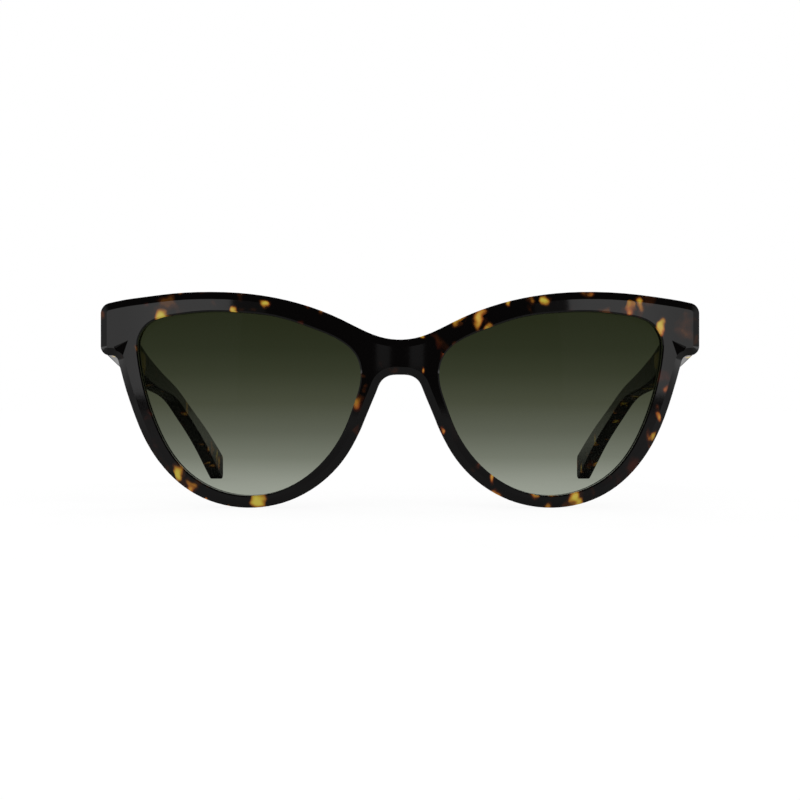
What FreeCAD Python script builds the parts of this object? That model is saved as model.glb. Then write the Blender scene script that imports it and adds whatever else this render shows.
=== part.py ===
"""Cat eye sunglasses: acetate front and temples, tinted lenses, five-barrel hinges.

Millimetres. The model is built with the front face of the bridge at Y = 0, the wearer behind it
towards +Y, +X towards the wearer's left and Z = 0 on the surface that the pair stands on. Each
finished piece is then moved along Y so that the origin is under the middle of the whole pair.
"""
import FreeCAD, Part
import math
import os

Vector = FreeCAD.Vector
doc = FreeCAD.newDocument("cat_eye_sunglasses")
sheet = doc.addObject("Spreadsheet::Sheet", "sizes")

SIZES = {
    # front
    "wrap_radius": 300.0,
    "front_thickness": 4.5,
    "blank_height": 60.0,
    "blank_drop": 4.0,
    "bevel_width": 1.8,
    "bevel_depth": 1.2,
    "back_round": 0.7,
    "opening_edge": 0.35,
    "front_half_width": 72.5,
    # endpieces, where the temples butt against the front
    "butt_plane": 13.5,
    "butt_gap": 0.1,
    "endpiece_inner": 64.5,
    "facet_depth": 0.35,
    # lenses
    "lens_radius": 160.0,
    "lens_thickness": 2.0,
    "lens_bevel": 0.6,
    "groove_depth": 0.8,
    "lens_setback": 0.15,
    "lens_middle": 36.1,
    "opening_middle_height": 24.8,
    # nose pads
    "pad_length": 15.0,
    "pad_width": 3.5,
    "pad_depth": 13.0,
    "pad_side": 10.45,
    "pad_back": 4.9,
    "pad_level": 20.6,
    "pad_splay": 4.0,
    "pad_lean": 21.5,
    # temples
    "temple_start": 72.0,
    "temple_converge": 4.3,
    "temple_thickness": 4.1,
    "temple_outer_round": 0.6,
    "temple_inner_round": 0.5,
    "overall_depth": 147.4,
    # core wires
    "core_width": 2.0,
    "core_thickness": 1.2,
    "core_start": 14.0,
    "core_end": 120.0,
    # hinges
    "axis_side": 66.2,
    "axis_back": 15.6,
    "hinge_bottom": 38.4,
    "knuckle_count": 5.0,
    "knuckle_height": 1.6,
    "knuckle_gap": 0.06,
    "barrel_radius": 1.4,
    "hinge_plate_depth": 1.4,
    "hinge_plate_lip": 0.3,
    "leaf_sunk": 0.5,
    "leaf_proud": 1.1,
    "web_reach": 2.6,
    "screw_radius": 0.6,
    "screw_clearance": 0.04,
    "head_radius": 1.15,
    "head_height": 0.7,
    "slot_width": 0.3,
    "slot_depth": 0.35,
}
for row, (alias, value) in enumerate(SIZES.items(), start=1):
    sheet.set(f"A{row}", alias)
    sheet.set(f"B{row}", str(value))
    sheet.setAlias(f"B{row}", alias)
doc.recompute()


def size(alias):
    """A driving dimension from the sheet."""
    return float(sheet.get(alias))


def bind(obj, prop, expression):
    """Tie a property to the sheet; size names are written in braces."""
    for alias in SIZES:
        expression = expression.replace("{" + alias + "}", "sizes." + alias)
    obj.setExpression(prop, expression)


def origin_plane(body, role):
    return next(f for f in body.Origin.OriginFeatures if f.Role == role)


def new_sketch(body, name, role, curves):
    """A sketch on one of the body's own origin planes."""
    sketch = body.newObject("Sketcher::SketchObject", name)
    sketch.AttachmentSupport = [(origin_plane(body, role), "")]
    sketch.MapMode = "FlatFace"
    for curve in curves:
        sketch.addGeometry(curve, False)
    return sketch


def closed_spline(points):
    """One smooth closed curve through (x, y) points."""
    curve = Part.BSplineCurve()
    curve.interpolate(Points=[Vector(x, y, 0) for x, y in points], PeriodicFlag=True)
    return curve


def open_spline(points):
    curve = Part.BSplineCurve()
    curve.interpolate(Points=[Vector(x, y, 0) for x, y in points])
    return curve


def segment(start, end):
    return Part.LineSegment(Vector(*start, 0), Vector(*end, 0))


def arc(start, middle, end):
    return Part.Arc(Vector(*start, 0), Vector(*middle, 0), Vector(*end, 0))


def polygon(points):
    return [segment(a, b) for a, b in zip(points, points[1:] + points[:1])]


def rectangle(left, bottom, right, top):
    return polygon([(left, bottom), (right, bottom), (right, top), (left, top)])


def new_body(name):
    return doc.addObject("PartDesign::Body", name)


def new_pad(body, name, sketch, length):
    pad = body.newObject("PartDesign::Pad", name)
    pad.Profile = sketch
    bind(pad, "Length", length)
    return pad


def new_pocket(body, name, sketch):
    """A cut through everything, both ways from the sketch plane."""
    pocket = body.newObject("PartDesign::Pocket", name)
    pocket.Profile = sketch
    pocket.Type = "ThroughAll"
    pocket.Midplane = True
    return pocket


def boolean(kind, name, base, tool):
    result = doc.addObject(kind, name)
    result.Base = base
    result.Tool = tool
    return result


def fuse(name, shapes):
    result = doc.addObject("Part::MultiFuse", name)
    result.Shapes = shapes
    result.Refine = True
    return result


def box(name, length, width, height, corner):
    """A block; its size and low corner are expressions."""
    block = doc.addObject("Part::Box", name)
    bind(block, "Length", length)
    bind(block, "Width", width)
    bind(block, "Height", height)
    for axis, place in zip("xyz", corner):
        bind(block, f"Placement.Base.{axis}", place)
    return block


def upright_cylinder(name, radius, height, foot):
    """A round post along Z; its size and foot are expressions."""
    post = doc.addObject("Part::Cylinder", name)
    bind(post, "Radius", radius)
    bind(post, "Height", height)
    for axis, place in zip("xyz", foot):
        bind(post, f"Placement.Base.{axis}", place)
    return post


pieces = []


def finish(obj, label):
    """Set a finished piece over the common origin, under its own name."""
    piece = doc.addObject("Part::Compound", f"{label}_piece")
    piece.Links = [obj]
    piece.Label = label
    bind(piece, "Placement.Base.y", "-{overall_depth} / 2")
    pieces.append(piece)


# ---------------------------------------------------------------- front
# The top edge from the middle of the bridge out along the brow, and the lower edge from the foot
# of the endpiece under the rim and up the side of the nose to the middle of the bridge.
TOP_EDGE = [
    (0.0, 39.95), (4.7, 40.6), (9.4, 42.5), (14.2, 44.9), (21.3, 47.75), (28.4, 49.7),
    (38.0, 51.15), (46.5, 51.5), (55.0, 51.15), (62.4, 50.35),
]
LOWER_EDGE = [
    (65.1, 25.2), (62.4, 18.3), (57.5, 10.35), (50.1, 3.8), (42.8, 0.8), (35.6, 0.0),
    (28.4, 1.05), (21.3, 4.2), (14.2, 10.45), (9.45, 18.45), (7.1, 24.1), (5.6, 27.7),
    (4.3, 30.3), (2.4, 31.45), (0.0, 31.65),
]
# The round corners of the endpiece: centre, radius and the angles where each begins and ends.
TOP_CORNER = ((69.9, 46.55), 2.6, 78, 0)
LOW_CORNER = ((70.25, 38.7), 2.25, 0, -90)
NOTCH = ((69.85, 34.55), 1.9, 90, 165)
# The lens opening, from its upper temporal corner along the brow and down the side of the nose.
OPENING = [
    (62.45, 41.5), (60.3, 44.0), (53.3, 46.05), (46.7, 46.7), (37.5, 46.45), (30.3, 45.6),
    (20.1, 42.4), (14.9, 40.1), (10.4, 36.1), (9.3, 31.0), (10.9, 24.6), (12.9, 19.3),
    (20.1, 9.3), (30.3, 3.6), (42.8, 4.0), (52.1, 9.7), (58.7, 20.4), (61.4, 28.4),
    (62.95, 36.5),
]


def on_circle(middle, radius, degrees):
    turn = math.radians(degrees)
    return (middle[0] + radius * math.cos(turn), middle[1] + radius * math.sin(turn))


def flip(point):
    return (-point[0], point[1])


def smooth_run(half, outer_end, heading):
    """A symmetrical curve through a half list, its ends leaving the corner arcs at a heading."""
    points = [outer_end] + half + [flip(p) for p in reversed(half[:-1])] + [flip(outer_end)]
    turn = math.radians(heading)
    leave = Vector(math.cos(turn), math.sin(turn), 0)
    curve = Part.BSplineCurve()
    curve.interpolate(
        Points=[Vector(x, y, 0) for x, y in points],
        InitialTangent=leave,
        FinalTangent=Vector(leave.x, -leave.y, 0),
    )
    return curve


def front_outline():
    """The outline of the front: brow, endpieces, notches under them, rims and bridge."""
    top_centre, top_radius, top_start, _ = TOP_CORNER
    notch_centre, notch_radius, _, notch_end = NOTCH
    brow = smooth_run(TOP_EDGE[::-1], on_circle(top_centre, top_radius, top_start), top_start + 90)
    rims = smooth_run(LOWER_EDGE, on_circle(notch_centre, notch_radius, notch_end), notch_end + 90)
    curves = [brow, rims]
    for place in (lambda p: p, flip):
        for centre, radius, start, end in (TOP_CORNER, LOW_CORNER, NOTCH):
            ends = [on_circle(centre, radius, a) for a in (start, (start + end) / 2, end)]
            curves.append(arc(*[place(p) for p in ends]))
        curves.append(
            segment(place(on_circle(*TOP_CORNER[:2], 0)), place(on_circle(*LOW_CORNER[:2], 0)))
        )
        curves.append(
            segment(place(on_circle(*LOW_CORNER[:2], -90)), place(on_circle(*NOTCH[:2], 90)))
        )
    return curves


def opening_points(side, growth):
    """The lens opening on one side, grown by a distance all round."""
    middle_x = (max(x for x, _ in OPENING) + min(x for x, _ in OPENING)) / 2
    middle_z = (max(z for _, z in OPENING) + min(z for _, z in OPENING)) / 2
    half_x = max(x for x, _ in OPENING) - middle_x
    half_z = max(z for _, z in OPENING) - middle_z
    return [
        (
            side * (middle_x + (x - middle_x) * (1 + growth / half_x)),
            middle_z + (z - middle_z) * (1 + growth / half_z),
        )
        for x, z in OPENING
    ]


def wrap_depth(x, inset=0.0):
    """How far the wrapped front has swept back at x, on a face inset from the front face."""
    radius = size("wrap_radius")
    return radius - math.sqrt((radius - inset) ** 2 - x * x)


def front_plan():
    """The front seen from above: a wrapped slab with a flat pad behind each endpiece."""
    reach = size("front_half_width") + 3
    thickness = size("front_thickness")
    butt = size("butt_plane")
    inner = size("endpiece_inner")
    foot = inner - 2.5
    sides = [
        arc((-reach, wrap_depth(reach)), (0, 0), (reach, wrap_depth(reach))),
        arc((-foot, wrap_depth(foot, thickness)), (0, thickness), (foot, wrap_depth(foot, thickness))),
    ]
    for side in (1, -1):
        sides.append(segment((side * reach, wrap_depth(reach)), (side * reach, butt)))
        sides.append(segment((side * reach, butt), (side * inner, butt)))
        sides.append(segment((side * inner, butt), (side * foot, wrap_depth(foot, thickness))))
    return sides


front = new_body("front_body")
plan = new_sketch(front, "front_plan", "XY_Plane", front_plan())
bind(plan, "AttachmentOffset.Base.z", "-{blank_drop}")
new_pad(front, "front_blank", plan, "{blank_height}")
around = rectangle(-80, -10, 80, 60)
outline = new_sketch(front, "front_outline", "XZ_Plane", around + front_outline())
new_pocket(front, "front_profile", outline)
doc.recompute()


def edges_where(shape, test):
    """Names of the edges whose bounding box passes a test."""
    return [f"Edge{i}" for i, edge in enumerate(shape.Edges, start=1) if test(edge.BoundBox)]


def dress(body, kind, name, base, edges, **expressions):
    """A chamfer or fillet on named edges, its sizes bound to the sheet."""
    feature = body.newObject(f"PartDesign::{kind}", name)
    feature.Base = (base, edges)
    if "Size2" in expressions:
        feature.ChamferType = "Two distances"
    for prop, expression in expressions.items():
        bind(feature, prop, expression)
    doc.recompute()
    return feature


rim_edges = edges_where(front.Shape, lambda b: b.XLength > 60 and b.YMin < 1 and b.YMax < 9.5)
dress(front, "Chamfer", "front_bevel", front.Tip, rim_edges, Size="{bevel_width}", Size2="{bevel_depth}")
openings = [closed_spline(opening_points(side, 0)) for side in (1, -1)]
lens_openings = new_sketch(front, "lens_openings", "XZ_Plane", openings)
new_pocket(front, "lens_cut", lens_openings)
doc.recompute()
inner_edges = edges_where(front.Shape, lambda b: 50 < b.XLength < 56 and b.YMax < 7)
dress(front, "Chamfer", "opening_edges", front.Tip, inner_edges, Size="{opening_edge}")
rear_edges = edges_where(front.Shape, lambda b: b.YMin > 4.4 and b.XLength > 50)
dress(front, "Fillet", "rear_edges", front.Tip, rear_edges, Radius="{back_round}")


# ---------------------------------------------------------------- lenses
# Each lens is a piece of a thin spherical shell, tilted with the wrap of the front, cut to the
# opening grown by the depth of the groove, with a bevel round both edges to sit in that groove.
def ball(name, radius, side):
    """A sphere about the lens's centre of curvature."""
    globe = doc.addObject("Part::Sphere", name)
    bind(globe, "Radius", radius)
    reach = "({lens_radius} + {lens_setback})"
    tilt = "asin({lens_middle} / {wrap_radius})"
    lens_depth = "({wrap_radius} - sqrt({wrap_radius} ^ 2 - {lens_middle} ^ 2))"
    bind(globe, "Placement.Base.x", f"{side} * ({{lens_middle}} - {reach} * sin({tilt}))")
    bind(globe, "Placement.Base.y", f"{lens_depth} + {reach} * cos({tilt})")
    bind(globe, "Placement.Base.z", "{opening_middle_height}")
    return globe


def make_lens(side, name):
    blank = new_body(f"{name}_blank")
    edge = [closed_spline(opening_points(side, size("groove_depth")))]
    sketch = new_sketch(blank, f"{name}_outline", "XZ_Plane", edge)
    pad = new_pad(blank, f"{name}_prism", sketch, "2 * {butt_plane}")
    pad.Midplane = True
    shell = boolean(
        "Part::Cut",
        f"{name}_shell",
        ball(f"{name}_outer_ball", "{lens_radius}", side),
        ball(f"{name}_inner_ball", "{lens_radius} - {lens_thickness}", side),
    )
    lens = boolean("Part::Common", f"{name}_cut", blank, shell)
    doc.recompute()
    bevelled = doc.addObject("Part::Chamfer", f"{name}_bevelled")
    bevelled.Base = lens
    rims = [i for i, e in enumerate(lens.Shape.Edges, start=1) if e.BoundBox.XLength > 40]
    bevelled.Edges = [(i, size("lens_bevel"), size("lens_bevel")) for i in rims]
    doc.recompute()
    return bevelled


lenses = {side: make_lens(side, name) for side, name in ((1, "lens_left"), (-1, "lens_right"))}


# ---------------------------------------------------------------- endpiece facets
def make_facet(side, name):
    """A shallow V cut that runs in over the face from the notch under the endpiece."""
    def place(x, z, depth):
        return Vector(side * x, wrap_depth(x) + depth, z)

    tip = place(65.4, 40.0, 0)
    upper = place(69.0, 38.5, 0)
    lower = place(67.1, 35.2, 0)
    root = place(68.75, 38.05, size("facet_depth"))
    lift = Vector(0, -3, 0)
    rings = [
        [tip, upper, root], [tip, root, lower], [root, upper, lower],
        [tip, lower, lower + lift, tip + lift], [lower, upper, upper + lift, lower + lift],
        [upper, tip, tip + lift, upper + lift], [tip + lift, lower + lift, upper + lift],
    ]
    faces = [Part.Face(Part.makePolygon(ring + ring[:1])) for ring in rings]
    solid = Part.Solid(Part.Shell(faces))
    if solid.Volume < 0:
        solid.reverse()
    tool = doc.addObject("Part::Feature", name)
    tool.Shape = solid
    return tool


# ---------------------------------------------------------------- hinges
# Five knuckles on one upright axis: the first, third and fifth on the front, the other two on the
# temple. Levels are counted from the lowest knuckle.
FRONT_KNUCKLES = (0, 2, 4)
TEMPLE_KNUCKLES = (1, 3)
HINGE_HEIGHT = "({knuckle_count} * {knuckle_height} + ({knuckle_count} - 1) * {knuckle_gap})"


def knuckle_level(index):
    return f"{{hinge_bottom}} + {index} * ({{knuckle_height}} + {{knuckle_gap}})"


def axis_post(name, side, radius, height, foot):
    return upright_cylinder(name, radius, height, (f"{side} * {{axis_side}}", "{axis_back}", foot))


def side_box(name, side, near, far, back, reach, bottom, height):
    """A block between two distances from the middle line, on one side of the pair."""
    low = f"{near}" if side > 0 else f"-({far})"
    return box(name, f"({far}) - ({near})", reach, height, (low, back, bottom))


def make_front_hinge(side, name):
    """The front half: a plate let into the back of the endpiece, with three knuckles on webs."""
    near, far = "{axis_side} - {barrel_radius}", "{axis_side} + {barrel_radius}"
    plate_back = "{butt_plane} - {hinge_plate_depth}"
    plate_reach = "{hinge_plate_depth} + {hinge_plate_lip}"
    shapes = [
        side_box(f"{name}_plate", side, near, far, plate_back, plate_reach, "{hinge_bottom}", HINGE_HEIGHT)
    ]
    for index in FRONT_KNUCKLES:
        level = knuckle_level(index)
        shapes.append(
            axis_post(f"{name}_knuckle_{index}", side, "{barrel_radius}", "{knuckle_height}", level)
        )
        shapes.append(
            side_box(
                f"{name}_web_{index}", side, near, far, "{butt_plane}",
                "{axis_back} - {butt_plane}", level, "{knuckle_height}",
            )
        )
    return fuse(f"{name}_solid", shapes)


def temple_place(obj, side):
    """Set a piece drawn along the temple at the temple's place and angle to the front."""
    turn = FreeCAD.Rotation(Vector(0, 0, side), size("temple_converge"))
    obj.Placement = FreeCAD.Placement(Vector(0, 0, 0), turn)
    bind(obj, "Placement.Rotation.Angle", "{temple_converge}")
    bind(obj, "Placement.Base.x", f"{side} * {{temple_start}}")
    bind(obj, "Placement.Base.y", "{butt_plane} + {butt_gap}")


def temple_slab(side, name, curves, start, thickness):
    """A flat piece in the temple's plane; start is its depth below the temple's outer face."""
    body = new_body(f"{name}_body")
    sketch = new_sketch(body, f"{name}_profile", "YZ_Plane", curves)
    bind(sketch, "AttachmentOffset.Base.z", f"{-side} * ({start})")
    pad = new_pad(body, f"{name}_pad", sketch, thickness)
    pad.Reversed = side > 0
    temple_place(body, side)
    doc.recompute()
    return body


def make_temple_hinge(side, name):
    """The temple half: a long plate let into the temple's inner face, with two knuckles."""
    plate = [
        segment((4.2, 38.3), (4.2, 46.4)), segment((4.2, 46.4), (5.8, 46.2)),
        arc((5.8, 46.2), (9.6, 41.2), (15.0, 38.1)), segment((15.0, 38.1), (19.9, 37.4)),
        arc((19.9, 37.4), (20.65, 36.4), (20.7, 35.0)), arc((20.7, 35.0), (20.3, 34.0), (19.2, 33.7)),
        segment((19.2, 33.7), (4.2, 38.3)),
    ]
    start = "{temple_thickness} - {leaf_sunk}"
    leaf = temple_slab(side, name, plate, start, "{leaf_sunk} + {leaf_proud}")
    shapes = [leaf]
    for index in TEMPLE_KNUCKLES:
        level = knuckle_level(index)
        shapes.append(
            axis_post(f"{name}_knuckle_{index}", side, "{barrel_radius}", "{knuckle_height}", level)
        )
        shapes.append(
            side_box(
                f"{name}_web_{index}", side, "{axis_side}", "{axis_side} + {barrel_radius}",
                "{axis_back}", "{web_reach}", level, "{knuckle_height}",
            )
        )
    bore = axis_post(
        f"{name}_bore", side, "{screw_radius} + {screw_clearance}", "{blank_height}", "0"
    )
    return boolean("Part::Cut", f"{name}_solid", fuse(f"{name}_leaf_and_knuckles", shapes), bore)


def make_screw(side, name):
    """The hinge pin: a slotted cheese-head screw, its shank filling the barrel."""
    shank = axis_post(f"{name}_shank", side, "{screw_radius}", HINGE_HEIGHT, "{hinge_bottom}")
    top = f"{{hinge_bottom}} + {HINGE_HEIGHT}"
    head = axis_post(f"{name}_head", side, "{head_radius}", "{head_height}", top)
    slot = box(
        f"{name}_slot", "4 * {head_radius}", "{slot_width}", "{head_height}",
        (
            f"{side} * {{axis_side}} - 2 * {{head_radius}}",
            "{axis_back} - {slot_width} / 2",
            f"{top} + {{head_height}} - {{slot_depth}}",
        ),
    )
    return boolean("Part::Cut", f"{name}_solid", fuse(f"{name}_blank", [shank, head]), slot)


# ---------------------------------------------------------------- temples
# The temple from the side as (distance behind the front, lower edge, upper edge): deep where it
# meets the front, slim past the middle, and a deep drooping tip that the pair stands on.
TEMPLE_PROFILE = [
    (-0.5, 36.9, 48.1), (7, 35.2, 45.8), (14, 33.7, 42.6), (21, 32.2, 39.8), (28, 30.8, 37.5),
    (36, 29.3, 35.4), (46, 28.0, 33.0), (56, 26.9, 30.9), (66, 24.9, 28.6), (78, 21.1, 25.1),
    (92, 16.4, 21.0), (106, 11.2, 16.9), (120, 5.3, 12.3), (129, 1.4, 9.2),
]


def temple_curves():
    lower = [(along, low) for along, low, _ in TEMPLE_PROFILE] + [(132.2, 0.07)]
    upper = [(along, high) for along, _, high in TEMPLE_PROFILE] + [(132.2, 8.0)]
    return [
        open_spline(lower),
        open_spline(upper),
        segment(lower[0], upper[0]),
        arc(lower[-1], (133.7, 0.35), (134.2, 1.8)),
        segment((134.2, 1.8), (134.2, 6.0)),
        arc((134.2, 6.0), (133.7, 7.3), upper[-1]),
    ]


def make_temple(side, name, hinge, core):
    """An acetate bar, trimmed square to the front and hollowed for its core wire and hinge."""
    body = temple_slab(side, name, temple_curves(), "0", "{temple_thickness}")
    shape = body.Tip.Shape
    outer = edges_where(shape, lambda b: b.XLength < 0.1 and abs(b.XMin) < 0.1 and b.YMax > 1)
    dress(body, "Fillet", f"{name}_outer_edges", body.Tip, outer, Radius="{temple_outer_round}")
    shape = body.Tip.Shape
    inner = edges_where(shape, lambda b: b.XLength < 0.1 and abs(b.XMin) > 4 and b.YMax > 1)
    dress(body, "Fillet", f"{name}_inner_edges", body.Tip, inner, Radius="{temple_inner_round}")
    trim = side_box(
        f"{name}_trim", side, "{axis_side} - 10", "{temple_start} + 10", "0",
        "{butt_plane} + {butt_gap}", "0", "{blank_height}",
    )
    squared = boolean("Part::Cut", f"{name}_squared", body, trim)
    return boolean("Part::Cut", f"{name}_solid", squared, fuse(f"{name}_inside", [hinge, core]))


def make_core(side, name):
    """A flat wire that follows the middle of the temple, sealed inside the acetate."""
    first, last = size("core_start"), size("core_end")
    middle = [
        (along, (low + high) / 2) for along, low, high in TEMPLE_PROFILE if first <= along <= last
    ]
    half = size("core_width") / 2
    under = [(along, height - half) for along, height in middle]
    over = [(along, height + half) for along, height in middle]
    curves = [
        open_spline(under), open_spline(over), segment(under[0], over[0]), segment(under[-1], over[-1])
    ]
    start = "({temple_thickness} - {core_thickness}) / 2"
    return temple_slab(side, name, curves, start, "{core_thickness}")


# ---------------------------------------------------------------- nose pads
def make_pad(side, name, front_piece):
    """An egg-shaped block of acetate, bonded to the back of the rim beside the nose."""
    egg = doc.addObject("Part::Ellipsoid", f"{name}_egg")
    bind(egg, "Radius1", "{pad_length} / 2")
    bind(egg, "Radius2", "{pad_width} / 2")
    bind(egg, "Radius3", "{pad_depth} / 2")
    splay = FreeCAD.Rotation(Vector(0, 0, 1), -side * size("pad_splay"))
    lean = FreeCAD.Rotation(Vector(0, 1, 0), -side * size("pad_lean"))
    egg.Placement = FreeCAD.Placement(Vector(0, 0, 0), splay * lean)
    bind(egg, "Placement.Base.x", f"{side} * {{pad_side}}")
    bind(egg, "Placement.Base.y", "{pad_back}")
    bind(egg, "Placement.Base.z", "{pad_level}")
    front_half = box(
        f"{name}_front_half", "{front_half_width}", "1.5 * {front_thickness}", "{blank_height}",
        ("-{front_half_width} / 2", "-{front_thickness} / 2", "0"),
    )
    rear = boolean("Part::Cut", f"{name}_rear", egg, front_half)
    return boolean("Part::Cut", f"{name}_solid", rear, front_piece)


# ---------------------------------------------------------------- assembly
front_tools = list(lenses.values())
for side, hand in ((1, "left"), (-1, "right")):
    finish(lenses[side], f"lens_{hand}")
    front_hinge = make_front_hinge(side, f"front_hinge_{hand}")
    screw = make_screw(side, f"hinge_screw_{hand}")
    temple_hinge = make_temple_hinge(side, f"temple_hinge_{hand}")
    core = make_core(side, f"temple_core_{hand}")
    temple = make_temple(side, f"temple_{hand}", temple_hinge, core)
    bored = boolean("Part::Cut", f"front_hinge_{hand}_bored", front_hinge, screw)
    pad = make_pad(side, f"nose_pad_{hand}", front)
    front_tools += [front_hinge, make_facet(side, f"facet_{hand}")]
    for piece, label in (
        (bored, f"front_hinge_{hand}"), (screw, f"hinge_screw_{hand}"),
        (temple_hinge, f"temple_hinge_{hand}"), (core, f"temple_core_{hand}"),
        (temple, f"temple_{hand}"), (pad, f"nose_pad_{hand}"),
    ):
        finish(piece, label)
finish(boolean("Part::Cut", "front_finished", front, fuse("front_inside", front_tools)), "front_frame")
doc.recompute()

for obj in doc.Objects:
    if "Invalid" in obj.State or "Error" in obj.State:
        raise RuntimeError(f"{obj.Label} failed: {obj.State}")
os.makedirs("parts", exist_ok=True)
for piece in pieces:
    shape = piece.Shape
    if shape.isNull() or not shape.isValid():
        raise RuntimeError(f"{piece.Label} has no valid shape")
    shape.exportStep(f"parts/{piece.Label}.step")
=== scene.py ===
import bpy
import math
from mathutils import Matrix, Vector


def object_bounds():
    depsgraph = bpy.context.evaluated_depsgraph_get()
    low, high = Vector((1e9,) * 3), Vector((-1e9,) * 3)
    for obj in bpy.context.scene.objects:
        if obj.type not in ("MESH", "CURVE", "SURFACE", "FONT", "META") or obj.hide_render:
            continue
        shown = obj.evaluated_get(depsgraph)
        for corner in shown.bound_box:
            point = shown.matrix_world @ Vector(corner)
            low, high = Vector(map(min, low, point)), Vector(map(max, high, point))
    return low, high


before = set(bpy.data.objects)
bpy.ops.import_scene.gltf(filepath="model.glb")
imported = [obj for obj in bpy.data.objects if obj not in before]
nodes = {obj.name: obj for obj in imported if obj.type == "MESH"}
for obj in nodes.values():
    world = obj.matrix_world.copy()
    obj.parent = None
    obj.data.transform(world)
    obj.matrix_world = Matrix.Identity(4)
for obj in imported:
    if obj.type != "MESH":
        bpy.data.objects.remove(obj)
cad_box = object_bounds()

# ---------------------------------------------------------------- front
# The front is one piece cut from a block of cellulose acetate, tumbled and buffed to a wet gloss.
# The sheet is laminated from near-black brown with scattered amber and honey flecks all through
# its thickness, so every cut face shows them.


def new_group(name, inputs, outputs):
    """A node group with plain inputs (name, kind, value) and outputs (name, kind)."""
    group = bpy.data.node_groups.new(name, "ShaderNodeTree")
    for label, kind, value in inputs:
        socket = group.interface.new_socket(label, in_out="INPUT", socket_type=kind)
        if value is not None:
            socket.default_value = value
    for label, kind in outputs:
        group.interface.new_socket(label, in_out="OUTPUT", socket_type=kind)
    return group


def add(tree, kind, links=(), **settings):
    """One node with its settings, and each (input, source socket or value) of links filled."""
    node = tree.nodes.new(kind)
    for key, value in settings.items():
        setattr(node, key, value)
    for socket, source in links:
        if isinstance(source, bpy.types.NodeSocket):
            tree.links.new(source, node.inputs[socket])
        else:
            node.inputs[socket].default_value = source
    return node


def ramp(tree, factor, stops):
    """A colour ramp over factor, from (position, colour) stops."""
    node = add(tree, "ShaderNodeValToRGB", [("Fac", factor)])
    elements = node.color_ramp.elements
    while len(elements) < len(stops):
        elements.new(0.5)
    for element, (position, colour) in zip(elements, stops):
        element.position = position
        element.color = (*colour, 1)
    return node.outputs["Color"]


def band(tree, value, low, high):
    """0 below low and 1 above high, eased between."""
    node = add(
        tree, "ShaderNodeMapRange",
        [("Value", value), ("From Min", low), ("From Max", high)],
        interpolation_type="SMOOTHSTEP",
    )
    return node.outputs["Result"]


def multiply(tree, a, b):
    """The product of two values, either of them a socket or a number."""
    node = add(tree, "ShaderNodeMath", [(0, a), (1, b)], operation="MULTIPLY")
    return node.outputs["Value"]


# Pattern scales are in turns per metre, and the drift is the pull on a fleck's outline in metres.
FLECK_SCALE = 250.0
DRIFT_SCALE = 190.0
DRIFT = 0.0062
CLOUD_SCALE = 130.0
HUE_SCALE = 120.0
GROUND_BROWN = (0.0012, 0.0009, 0.0009)


def make_tortoiseshell():
    """Flecks of amber in a dark ground, with soft red-brown edges, in the sheet's own thickness."""
    group = new_group(
        "tortoiseshell",
        [("Vector", "NodeSocketVector", None)],
        [("Color", "NodeSocketColor")],
    )
    place = add(group, "NodeGroupInput").outputs["Vector"]
    drift = add(
        group, "ShaderNodeTexNoise", [("Vector", place), ("Scale", DRIFT_SCALE), ("Detail", 2.0)]
    )
    centred = add(
        group, "ShaderNodeVectorMath", [(0, drift.outputs["Color"]), (1, (0.5, 0.5, 0.5))],
        operation="SUBTRACT",
    )
    shift = add(
        group, "ShaderNodeVectorMath", [(0, centred.outputs[0]), ("Scale", DRIFT)],
        operation="SCALE",
    )
    pulled = add(group, "ShaderNodeVectorMath", [(0, place), (1, shift.outputs[0])], operation="ADD")
    stretched = add(
        group, "ShaderNodeMapping",
        [("Vector", pulled.outputs[0]), ("Rotation", (0.0, 0.35, 0.2)), ("Scale", (1.0, 0.8, 0.62))],
    )
    cells = add(
        group, "ShaderNodeTexVoronoi", [("Vector", stretched.outputs[0]), ("Scale", FLECK_SCALE)]
    )
    lot = add(group, "ShaderNodeSeparateColor", [("Color", cells.outputs["Color"])])
    present = band(group, lot.outputs["Red"], 0.46, 0.56)
    reach = add(
        group, "ShaderNodeMath", [(0, lot.outputs["Green"]), (1, 0.34), (2, 0.17)],
        operation="MULTIPLY_ADD",
    )
    share = add(
        group, "ShaderNodeMath", [(0, cells.outputs["Distance"]), (1, reach.outputs[0])],
        operation="DIVIDE",
    )
    inside = add(
        group, "ShaderNodeMath", [(0, 1.0), (1, band(group, share.outputs[0], 0.25, 1.2))],
        operation="SUBTRACT",
    )
    spot = multiply(group, inside.outputs[0], present)
    cloud = add(group, "ShaderNodeTexNoise", [("Vector", pulled.outputs[0]), ("Scale", CLOUD_SCALE)])
    glow = multiply(group, band(group, cloud.outputs["Fac"], 0.59, 0.74), 0.26)
    core = add(group, "ShaderNodeMath", [(0, spot), (1, glow)], operation="MAXIMUM").outputs[0]
    hue = add(
        group, "ShaderNodeTexNoise", [("Vector", place), ("Scale", HUE_SCALE), ("Detail", 0.0)]
    )
    warm = ramp(group, core, [
        (0.0, GROUND_BROWN), (0.22, (0.028, 0.005, 0.002)),
        (0.5, (0.26, 0.065, 0.012)), (0.8, (0.44, 0.20, 0.032)), (1.0, (0.55, 0.32, 0.06)),
    ])
    honey = ramp(group, core, [
        (0.0, GROUND_BROWN), (0.22, (0.028, 0.008, 0.002)),
        (0.5, (0.24, 0.095, 0.010)), (0.8, (0.38, 0.26, 0.028)), (1.0, (0.46, 0.38, 0.05)),
    ])
    mixed = add(
        group, "ShaderNodeMix",
        [(0, band(group, hue.outputs["Fac"], 0.33, 0.50)), (6, warm), (7, honey)],
        data_type="RGBA",
    )
    add(group, "NodeGroupOutput", [("Color", mixed.outputs[2])])
    return group


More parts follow.
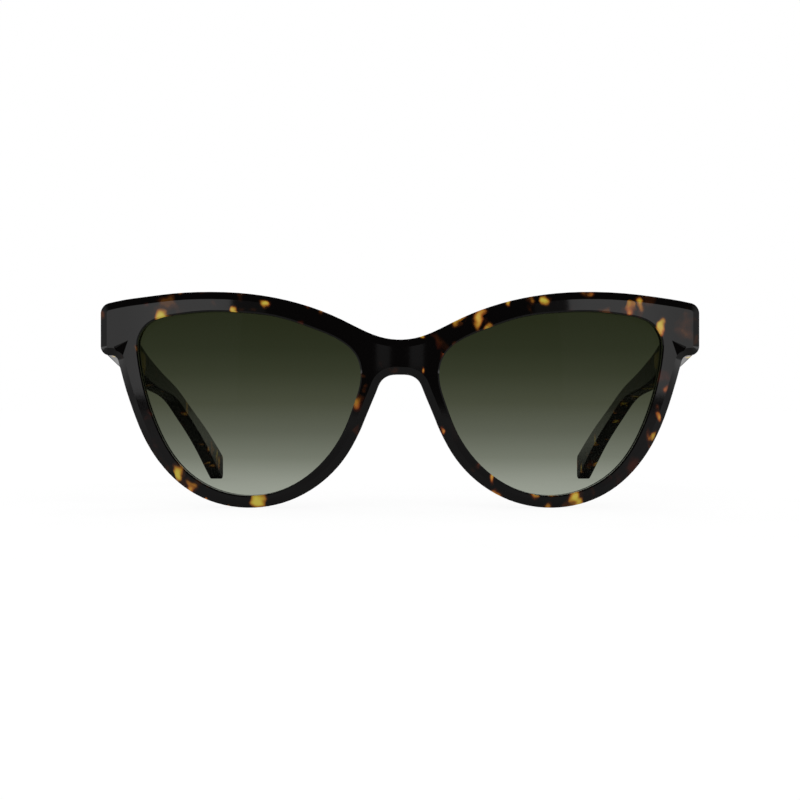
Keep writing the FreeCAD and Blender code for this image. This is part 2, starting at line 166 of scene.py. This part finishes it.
def make_handling_marks():
    """Faint buffing ripples and hairlines: a small height and a small change of roughness."""
    group = new_group(
        "handling_marks",
        [
            ("Vector", "NodeSocketVector", None), ("Roughness", "NodeSocketFloat", 0.1),
            ("Spread", "NodeSocketFloat", 0.05), ("Fineness", "NodeSocketFloat", 900.0),
        ],
        [("Roughness", "NodeSocketFloat"), ("Height", "NodeSocketFloat")],
    )
    given = add(group, "NodeGroupInput")
    place = given.outputs["Vector"]
    hairline = add(
        group, "ShaderNodeTexNoise",
        [("Vector", place), ("Scale", given.outputs["Fineness"]), ("Detail", 3.0), ("Distortion", 1.5)],
    )
    ripple = add(group, "ShaderNodeTexNoise", [("Vector", place), ("Scale", 60.0), ("Detail", 1.0)])
    rough = add(
        group, "ShaderNodeMath",
        [(0, hairline.outputs["Fac"]), (1, given.outputs["Spread"]), (2, given.outputs["Roughness"])],
        operation="MULTIPLY_ADD",
    )
    height = add(
        group, "ShaderNodeMath",
        [(0, hairline.outputs["Fac"]), (1, 0.15), (2, ripple.outputs["Fac"])],
        operation="MULTIPLY_ADD",
    )
    add(group, "NodeGroupOutput", [("Roughness", rough.outputs[0]), ("Height", height.outputs[0])])
    return group


tortoiseshell = make_tortoiseshell()
handling_marks = make_handling_marks()


def new_material(name):
    """A material with its node tree, its Principled shader and the object's own coordinates."""
    material = bpy.data.materials.new(name)
    material.use_nodes = True
    tree = material.node_tree
    shader = tree.nodes["Principled BSDF"]
    place = add(tree, "ShaderNodeTexCoord").outputs["Object"]
    return material, tree, shader, place


def make_acetate(name, shift):
    """Polished acetate cut from its own part of the sheet, so that no two pieces match."""
    material, tree, shader, place = new_material(name)
    moved = add(tree, "ShaderNodeMapping", [("Vector", place), ("Location", shift)])
    shell = add(
        tree, "ShaderNodeGroup", [("Vector", moved.outputs[0])], node_tree=tortoiseshell
    )
    marks = add(
        tree, "ShaderNodeGroup",
        [("Vector", place), ("Roughness", 0.035), ("Spread", 0.03)], node_tree=handling_marks,
    )
    bump = add(
        tree, "ShaderNodeBump",
        [("Height", marks.outputs["Height"]), ("Strength", 0.02), ("Distance", 0.0002)],
    )
    tree.links.new(shell.outputs["Color"], shader.inputs["Base Color"])
    tree.links.new(marks.outputs["Roughness"], shader.inputs["Roughness"])
    tree.links.new(bump.outputs["Normal"], shader.inputs["Normal"])
    shader.inputs["IOR"].default_value = 1.5
    return material


def paint(node, material):
    """Give a CAD node this material in place of its plain one."""
    for material_slot in nodes[node].material_slots:
        material_slot.material = material


paint("front_frame", make_acetate("acetate_front", (0.021, 0.013, 0.004)))

# ---------------------------------------------------------------- lenses
# Each lens is a thin curved sheet of nylon, dip-dyed so that the tint fades from a deep olive at
# the brow to a pale grey-green at the cheek, and sprung into a groove in the rim.

# Height above the ground in metres, and the share of light that passes there.
TINT = [
    (0.002, (0.33, 0.355, 0.30)), (0.006, (0.285, 0.305, 0.255)), (0.012, (0.167, 0.182, 0.142)),
    (0.018, (0.106, 0.116, 0.085)), (0.025, (0.063, 0.07, 0.044)), (0.032, (0.037, 0.043, 0.0235)),
    (0.038, (0.025, 0.03, 0.0148)), (0.045, (0.0195, 0.0235, 0.0105)),
]


def make_tint():
    """Clear sheet with the dye's colour by height; shadow rays pass straight through it."""
    material, tree, shader, place = new_material("graduated_tint")
    height = add(tree, "ShaderNodeSeparateXYZ", [("Vector", place)]).outputs["Z"]
    low, high = TINT[0][0], TINT[-1][0]
    along = add(tree, "ShaderNodeMapRange", [("Value", height), ("From Min", low), ("From Max", high)])
    stops = [((level - low) / (high - low), colour) for level, colour in TINT]
    colour = ramp(tree, along.outputs["Result"], stops)
    marks = add(
        tree, "ShaderNodeGroup",
        [("Vector", place), ("Roughness", 0.0), ("Spread", 0.004)], node_tree=handling_marks,
    )
    tree.links.new(colour, shader.inputs["Base Color"])
    tree.links.new(marks.outputs["Roughness"], shader.inputs["Roughness"])
    shader.inputs["Transmission Weight"].default_value = 1.0
    # Nylon's own index is about 1.5; this low one leaves almost no reflection on the lens.
    shader.inputs["IOR"].default_value = 1.08
    shadow = add(tree, "ShaderNodeBsdfTransparent", [("Color", colour)])
    is_shadow = add(tree, "ShaderNodeLightPath").outputs["Is Shadow Ray"]
    mixed = add(
        tree, "ShaderNodeMixShader",
        [(0, is_shadow), (1, shader.outputs[0]), (2, shadow.outputs[0])],
    )
    tree.links.new(mixed.outputs[0], tree.nodes["Material Output"].inputs["Surface"])
    return material


tint = make_tint()
paint("lens_left", tint)
paint("lens_right", tint)

# ---------------------------------------------------------------- nose pads
# The pads are blocks of the same acetate, bonded to the back of the rim beside the nose and
# blended by hand, so their flecks do not line up with those of the front.
paint("nose_pad_left", make_acetate("acetate_pad_left", (0.4, 0.1, 0.2)))
paint("nose_pad_right", make_acetate("acetate_pad_right", (0.7, 0.3, 0.5)))

# ---------------------------------------------------------------- hinges
# Each hinge is milled from brass and gold plated: one plate pressed into the back of the
# endpiece, one along the inside of the temple, and a screw through their five knuckles.


def make_gold():
    """Gold plate, a little uneven in tone, with fine rub marks."""
    material, tree, shader, place = new_material("gold_plate")
    marks = add(
        tree, "ShaderNodeGroup",
        [("Vector", place), ("Roughness", 0.16), ("Spread", 0.16), ("Fineness", 1600.0)],
        node_tree=handling_marks,
    )
    tone = add(tree, "ShaderNodeTexNoise", [("Vector", place), ("Scale", 700.0), ("Detail", 3.0)])
    colour = ramp(tree, tone.outputs["Fac"], [
        (0.3, (0.62, 0.42, 0.16)), (0.5, (0.76, 0.56, 0.25)), (0.7, (0.82, 0.63, 0.31)),
    ])
    bump = add(
        tree, "ShaderNodeBump",
        [("Height", marks.outputs["Height"]), ("Strength", 0.06), ("Distance", 0.0002)],
    )
    tree.links.new(colour, shader.inputs["Base Color"])
    tree.links.new(marks.outputs["Roughness"], shader.inputs["Roughness"])
    tree.links.new(bump.outputs["Normal"], shader.inputs["Normal"])
    shader.inputs["Metallic"].default_value = 1.0
    return material


gold = make_gold()
for hand in ("left", "right"):
    paint(f"front_hinge_{hand}", gold)
    paint(f"temple_hinge_{hand}", gold)
    paint(f"hinge_screw_{hand}", gold)

# ---------------------------------------------------------------- temples
# Each temple is sawn from the same sheet, its long edges rounded over and its tip bent down. A
# flat nickel-silver wire is shot through its middle while it is warm and never shows.


def make_core_wire():
    """Drawn wire, its streaks running along the temple."""
    material, tree, shader, place = new_material("nickel_silver")
    drawn = add(tree, "ShaderNodeMapping", [("Vector", place), ("Scale", (1, 0.05, 1))])
    streak = add(
        tree, "ShaderNodeTexNoise", [("Vector", drawn.outputs[0]), ("Scale", 4000.0), ("Detail", 2.0)]
    )
    colour = ramp(tree, streak.outputs["Fac"], [(0.3, (0.38, 0.37, 0.34)), (0.7, (0.58, 0.57, 0.54))])
    marks = add(
        tree, "ShaderNodeGroup",
        [("Vector", place), ("Roughness", 0.28), ("Spread", 0.12)], node_tree=handling_marks,
    )
    tree.links.new(colour, shader.inputs["Base Color"])
    tree.links.new(marks.outputs["Roughness"], shader.inputs["Roughness"])
    shader.inputs["Metallic"].default_value = 1.0
    return material


core_wire = make_core_wire()
paint("temple_left", make_acetate("acetate_temple_left", (0.15, 0.52, 0.31)))
paint("temple_right", make_acetate("acetate_temple_right", (0.83, 0.27, 0.66)))
paint("temple_core_left", core_wire)
paint("temple_core_right", core_wire)

# ---------------------------------------------------------------- studio
# A pale sweep under and behind the pair, a dark room on the camera's side, and one soft box on
# each side of the camera that puts a long pale sheen on the outer halves of the brow. The sweep
# and the room have another brightness in mirror reflections than when they are seen directly.
FRONT_PLANE = cad_box[0].y
GROUND = cad_box[0].z
SWEEP_WIDTH = 6.0
SEEN_BRIGHTNESS = 0.90
ROOM_BEHIND = 0.55
ROOM_IN_FRONT = 0.02


def seen_in_gloss(tree):
    """1 where a surface mirrors the studio, 0 where it is seen directly or through a lens."""
    path = add(tree, "ShaderNodeLightPath")
    passed = add(
        tree, "ShaderNodeMath", [(0, 1.0), (1, path.outputs["Is Transmission Ray"])],
        operation="SUBTRACT",
    )
    return multiply(tree, path.outputs["Is Glossy Ray"], passed.outputs[0])


def make_sweep():
    """Pale paper, evenly bright when seen directly; in reflections it shows painted reflection: dim near
    the pair, painted shade under it, and a painted highlight patch beside each hinge.
    """
    material = bpy.data.materials.new("pale_sweep")
    material.use_nodes = True
    tree = material.node_tree
    tree.nodes.clear()
    place = add(tree, "ShaderNodeTexCoord").outputs["Object"]
    spot = add(tree, "ShaderNodeSeparateXYZ", [("Vector", place)])
    depth = spot.outputs["Y"]
    aside = add(tree, "ShaderNodeMath", [(0, spot.outputs["X"])], operation="ABSOLUTE").outputs[0]
    # Painted reflection: the sweep's brightness in mirror reflections only. It is lighter near, far and
    # at the sides, with painted shade under the pair.
    near = multiply(tree, band(tree, depth, FRONT_PLANE - 0.16, FRONT_PLANE - 0.03), 0.05)
    under = multiply(tree, band(tree, depth, FRONT_PLANE, FRONT_PLANE + 0.02), -0.08)
    far = multiply(tree, band(tree, depth, -FRONT_PLANE, 0.6), 0.65)
    sides = multiply(tree, band(tree, aside, 0.09, 0.16), 0.08)
    # A painted highlight patch beside each hinge: the floor glows brighter here, seen only in
    # reflections.
    painted_highlight_patch = multiply(tree, band(tree, aside, 0.070, 0.078), band(tree, depth, 0.040, 0.020))
    painted_highlight_patch = multiply(tree, multiply(tree, painted_highlight_patch, band(tree, depth, -0.060, -0.045)), 0.85)
    mirrored = add(tree, "ShaderNodeMath", [(0, near), (1, 0.05)], operation="ADD")
    for part in (under, far, sides, painted_highlight_patch):
        mirrored = add(tree, "ShaderNodeMath", [(0, mirrored.outputs[0]), (1, part)], operation="ADD")
    glow = add(
        tree, "ShaderNodeMix", [(0, seen_in_gloss(tree)), (2, SEEN_BRIGHTNESS), (3, mirrored.outputs[0])],
        data_type="FLOAT",
    )
    paper = add(tree, "ShaderNodeTexNoise", [("Vector", place), ("Scale", 30.0), ("Detail", 4.0)])
    shade = ramp(tree, paper.outputs["Fac"], [(0.0, (0.97, 0.97, 0.97)), (1.0, (1.0, 1.0, 1.0))])
    lit = add(tree, "ShaderNodeEmission", [("Color", shade), ("Strength", glow.outputs[0])])
    matt = add(tree, "ShaderNodeBsdfDiffuse", [("Color", (0.12, 0.12, 0.12, 1))])
    both = add(tree, "ShaderNodeAddShader", [(0, lit.outputs[0]), (1, matt.outputs[0])])
    add(tree, "ShaderNodeOutputMaterial", [("Surface", both.outputs[0])])
    return material


bpy.ops.object.select_all(action="DESELECT")
bpy.ops.mesh.primitive_plane_add(size=SWEEP_WIDTH, location=(0, 0, GROUND))
sweep = bpy.context.object
sweep.name = "sweep"
bpy.ops.object.transform_apply(location=True, rotation=True, scale=True)
sweep.data.materials.append(make_sweep())

room = bpy.data.worlds.new("room")
bpy.context.scene.world = room
room.use_nodes = True
tree = room.node_tree
tree.nodes.clear()
outward = add(tree, "ShaderNodeTexCoord").outputs["Generated"]
split = add(tree, "ShaderNodeSeparateXYZ", [("Vector", outward)])
behind = band(tree, split.outputs["Y"], -0.10, 0.35)
mirrored = add(
    tree, "ShaderNodeMath", [(0, behind), (1, ROOM_BEHIND), (2, ROOM_IN_FRONT)],
    operation="MULTIPLY_ADD",
)
level = add(
    tree, "ShaderNodeMix", [(0, seen_in_gloss(tree)), (2, 1.0), (3, mirrored.outputs[0])],
    data_type="FLOAT",
)
sky = add(tree, "ShaderNodeBackground", [("Color", (1, 1, 1, 1)), ("Strength", level.outputs[0])])
add(tree, "ShaderNodeOutputWorld", [("Surface", sky.outputs[0])])


def soft_box(name, near, far, bottom, top, radiance, falloff):
    """An upright soft box between two plan points; falloff gives its brightness from near to far."""
    middle = Vector(((near[0] + far[0]) / 2, (near[1] + far[1]) / 2, (bottom + top) / 2))
    lamp = bpy.data.lights.new(name, "AREA")
    lamp.shape = "RECTANGLE"
    lamp.size = math.dist(near, far)
    lamp.size_y = top - bottom
    lamp.energy = radiance * math.pi * lamp.size * lamp.size_y
    box = bpy.data.objects.new(name, lamp)
    box.location = middle
    across = Vector((far[0] - near[0], far[1] - near[1], 0)).normalized()
    facing = across.cross(Vector((0, 0, 1)))
    if facing.dot(-middle) < 0:
        facing = -facing
    turn = facing.to_track_quat("-Z", "Y")
    box.rotation_euler = turn.to_euler()
    box.visible_camera = False
    box.visible_transmission = False
    bpy.context.scene.collection.objects.link(box)
    if (turn @ Vector((1, 0, 0))).dot(across) < 0:
        falloff = [(1 - share, grey) for share, grey in reversed(falloff)]
    lamp.use_nodes = True
    tree = lamp.node_tree
    along = add(tree, "ShaderNodeNewGeometry").outputs["Parametric"]
    width = add(tree, "ShaderNodeSeparateXYZ", [("Vector", along)]).outputs["X"]
    shade = ramp(tree, width, [(share, (grey, grey, grey)) for share, grey in falloff])
    tree.links.new(shade, tree.nodes["Emission"].inputs["Color"])


# Each soft box fades a little towards its outer edge, and a dim flap spills past its inner edge.
FLAP = [(0.0, 0.07), (0.18, 0.07), (0.19, 0.93), (0.3, 1.0), (0.6, 1.0), (0.75, 0.86), (1.0, 0.84)]
EVEN = [(0.0, 1.0), (1.0, 1.0)]
soft_box("soft_box_right", (-0.301, -0.953), (-0.665, -0.735), 0.0295, 0.33, 1.0, FLAP)
soft_box("soft_box_left", (0.301, -0.953), (0.665, -0.735), 0.0295, 0.33, 1.0, FLAP)
soft_box("strip_right", (-0.022, -0.97), (-0.053, -0.97), 0.0495, 0.090, 0.16, EVEN)
soft_box("strip_left", (0.022, -0.97), (0.053, -0.97), 0.0495, 0.090, 0.16, EVEN)

# ---------------------------------------------------------------- camera
# Level with the middle of the lenses and square to the bridge.
CAMERA_DISTANCE = 0.380
CAMERA_HEIGHT = 0.02567
lens = bpy.data.cameras.new("camera")
lens.sensor_width = 36
lens.lens = 72.46
lens.clip_start = 0.01
camera = bpy.data.objects.new("camera", lens)
camera.location = (0, FRONT_PLANE - CAMERA_DISTANCE, GROUND + CAMERA_HEIGHT)
camera.rotation_euler = (math.pi / 2, 0, 0)
bpy.context.scene.collection.objects.link(camera)
bpy.context.scene.camera = camera
bpy.context.scene.view_settings.view_transform = "Standard"
